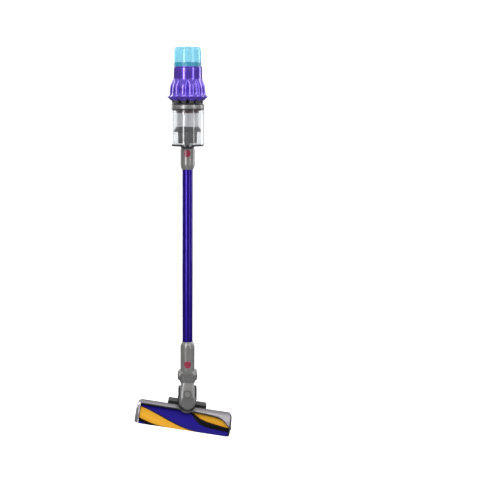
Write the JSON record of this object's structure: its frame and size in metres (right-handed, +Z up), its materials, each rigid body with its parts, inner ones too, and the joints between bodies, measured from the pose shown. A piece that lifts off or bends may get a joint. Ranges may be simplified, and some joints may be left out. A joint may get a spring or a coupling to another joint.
{
  "type": "cordless stick vacuum",
  "caption": "Upright cordless stick vacuum: cyclone machine with clear bin and rear battery handle, violet wand, and a soft-roller floor head on a tilting, rolling neck.",
  "frame": {"origin": "mouth of the charging socket at the foot of the dock spine, behind the battery", "axes": "+Z up along the wand towards the filter, +Y out of the back towards the dock, +X to the viewer's right when seen from the front"},
  "size_m": [0.2846, 0.2008, 1.1232],
  "materials": {
    "clear_plastic": "clear moulded polycarbonate",
    "cyan_plastic": "tinted translucent, polished",
    "teal_plastic": "polished",
    "pleat_paper": "pleated filter medium",
    "violet_plastic": "translucent violet, polished",
    "violet_anodised": "anodised violet, polished",
    "nickel_plastic": "metallic grey moulding, satin",
    "dark_plastic": "dark grey moulding, fine spark texture",
    "red_plastic": "red moulding, satin",
    "maroon_plastic": "dark maroon moulding",
    "steel_mesh": "perforated sheet",
    "steel": "turned",
    "motor_metal": "machined",
    "cell_wrap": "shrink wrap",
    "screen_glass": "dark display window",
    "seal_rubber": "moulded rubber",
    "roller_pile": "soft woven nylon with yellow spiral strips"
  },
  "bodies": {
    "machine": {"motor_housing": "violet_plastic", "cyclone_shell": "violet_plastic", "cyclone_pack": "dark_plastic", "bin_ring": "nickel_plastic", "motor": "motor_metal", "motor_bucket": "dark_plastic", "top_cap": "nickel_plastic", "screen": "screen_glass", "shroud_head": "maroon_plastic", "shroud_mesh": "steel_mesh", "dust_collector": "dark_plastic", "bin_rail": "nickel_plastic", "handle_grip": "dark_plastic", "handle_foot": "dark_plastic"},
    "rotor": {"impeller": "motor_metal"},
    "filter": {"filter_shell": "cyan_plastic", "filter_band": "teal_plastic", "filter_pleats": "pleat_paper"},
    "mode_key": {"mode_button": "maroon_plastic"},
    "trigger_body": {"trigger": "red_plastic"},
    "lever_body": {"bin_lever": "red_plastic"},
    "battery": {"battery_case": "dark_plastic", "battery_cells": "cell_wrap"},
    "battery_key": {"battery_button": "red_plastic"},
    "bin": {"bin_wall": "clear_plastic", "bin_seal": "seal_rubber", "inlet_duct": "clear_plastic", "inlet_base": "dark_plastic", "bin_runner": "clear_plastic", "door_pin": "steel"},
    "bin_door": {"door_frame": "dark_plastic", "door_window": "clear_plastic"},
    "wand": {"wand_tube": "violet_anodised", "wand_upper_cuff": "nickel_plastic", "wand_nose": "dark_plastic", "wand_lower_collar": "nickel_plastic"},
    "wand_key": {"wand_button": "red_plastic"},
    "neck_top": {"head_cuff": "nickel_plastic"},
    "head_key": {"head_button": "red_plastic"},
    "neck": {"neck_shell": "nickel_plastic", "neck_rear_cover": "dark_plastic", "neck_disc": "nickel_plastic", "hinge_pin": "steel", "swivel_spigot": "dark_plastic"},
    "floor_head": {"head_visor": "nickel_plastic", "head_saddle": "dark_plastic", "head_chassis": "dark_plastic", "rear_carriage": "dark_plastic", "swivel_collar": "dark_plastic", "left_end_plate": "nickel_plastic", "right_end_frame": "dark_plastic", "floor_strip": "seal_rubber", "sole_screws": "steel", "wheel_axles": "steel", "roller_motor": "motor_metal"},
    "roller": {"roller_sleeve": "roller_pile", "roller_tube": "motor_metal"},
    "end_cap_body": {"roller_end_cap": "red_plastic"},
    "left_wheel": {"wheel_left": "seal_rubber"},
    "right_wheel": {"wheel_right": "seal_rubber"}
  },
  "joints": [
    {"name": "impeller_spin", "type": "hinge", "parent": "machine", "child": "rotor", "pos_m": [0, -0.1391, 0.115], "axis": [0, 0, 1], "continuous": true},
    {"name": "filter_twist", "type": "hinge", "parent": "machine", "child": "filter", "pos_m": [0, -0.1391, 0.18], "axis": [0, 0, 1], "range_deg": [0, 30]},
    {"name": "mode_press", "type": "slide", "parent": "machine", "child": "mode_key", "axis": [0, 0, -1], "range_m": [0, 0.0008], "stiffness_N_per_m": 400},
    {"name": "trigger_pull", "type": "slide", "parent": "machine", "child": "trigger_body", "axis": [0, 0, 1], "range_m": [0, 0.0042], "stiffness_N_per_m": 400},
    {"name": "lever_slide", "type": "slide", "parent": "machine", "child": "lever_body", "axis": [0, 0, -1], "range_m": [0, 0.012]},
    {"name": "bin_slide", "type": "slide", "parent": "machine", "child": "bin", "axis": [0, 0, -1], "range_m": [0, 0.04]},
    {"name": "door_hinge", "type": "hinge", "parent": "bin", "child": "bin_door", "pos_m": [0, -0.1887, -0.053], "axis": [-1, 0, 0], "range_deg": [0, 88]},
    {"name": "battery_slide", "type": "slide", "parent": "machine", "child": "battery", "axis": [0, 0, -1], "range_m": [0, 0.06]},
    {"name": "battery_press", "type": "slide", "parent": "battery", "child": "battery_key", "axis": [0, 1, 0], "range_m": [0, 0.0012], "stiffness_N_per_m": 400},
    {"name": "wand_pull", "type": "slide", "parent": "bin", "child": "wand", "axis": [0, 0, -1], "range_m": [0, 0.04]},
    {"name": "wand_press", "type": "slide", "parent": "wand", "child": "wand_key", "axis": [0, 1, 0], "range_m": [0, 0.0022], "stiffness_N_per_m": 400},
    {"name": "head_pull", "type": "slide", "parent": "wand", "child": "neck_top", "axis": [0, 0, -1], "range_m": [0, 0.045]},
    {"name": "head_press", "type": "slide", "parent": "neck_top", "child": "head_key", "axis": [0, 1, 0], "range_m": [0, 0.002], "stiffness_N_per_m": 400},
    {"name": "pitch_hinge", "type": "hinge", "parent": "neck_top", "child": "neck", "pos_m": [0, -0.1091, -0.724], "axis": [1, 0, 0], "range_deg": [0, 80]},
    {"name": "swivel", "type": "hinge", "parent": "neck", "child": "floor_head", "pos_m": [0, -0.1091, -0.794], "axis": [0, 1, 0], "range_deg": [-54, 36]},
    {"name": "roller_spin", "type": "hinge", "parent": "floor_head", "child": "roller", "pos_m": [-0.00953, -0.1331, -0.85415], "axis": [0.9877, 0, -0.1564], "continuous": true},
    {"name": "cap_twist", "type": "hinge", "parent": "floor_head", "child": "end_cap_body", "pos_m": [0.12184, -0.1331, -0.87496], "axis": [0.9877, 0, -0.1564], "range_deg": [0, 45]},
    {"name": "wheel_left_spin", "type": "hinge", "parent": "floor_head", "child": "left_wheel", "pos_m": [-0.05213, -0.0571, -0.86745], "axis": [0.9877, 0, -0.1564], "continuous": true},
    {"name": "wheel_right_spin", "type": "hinge", "parent": "floor_head", "child": "right_wheel", "pos_m": [0.02688, -0.0571, -0.87996], "axis": [0.9877, 0, -0.1564], "continuous": true}
  ]
}
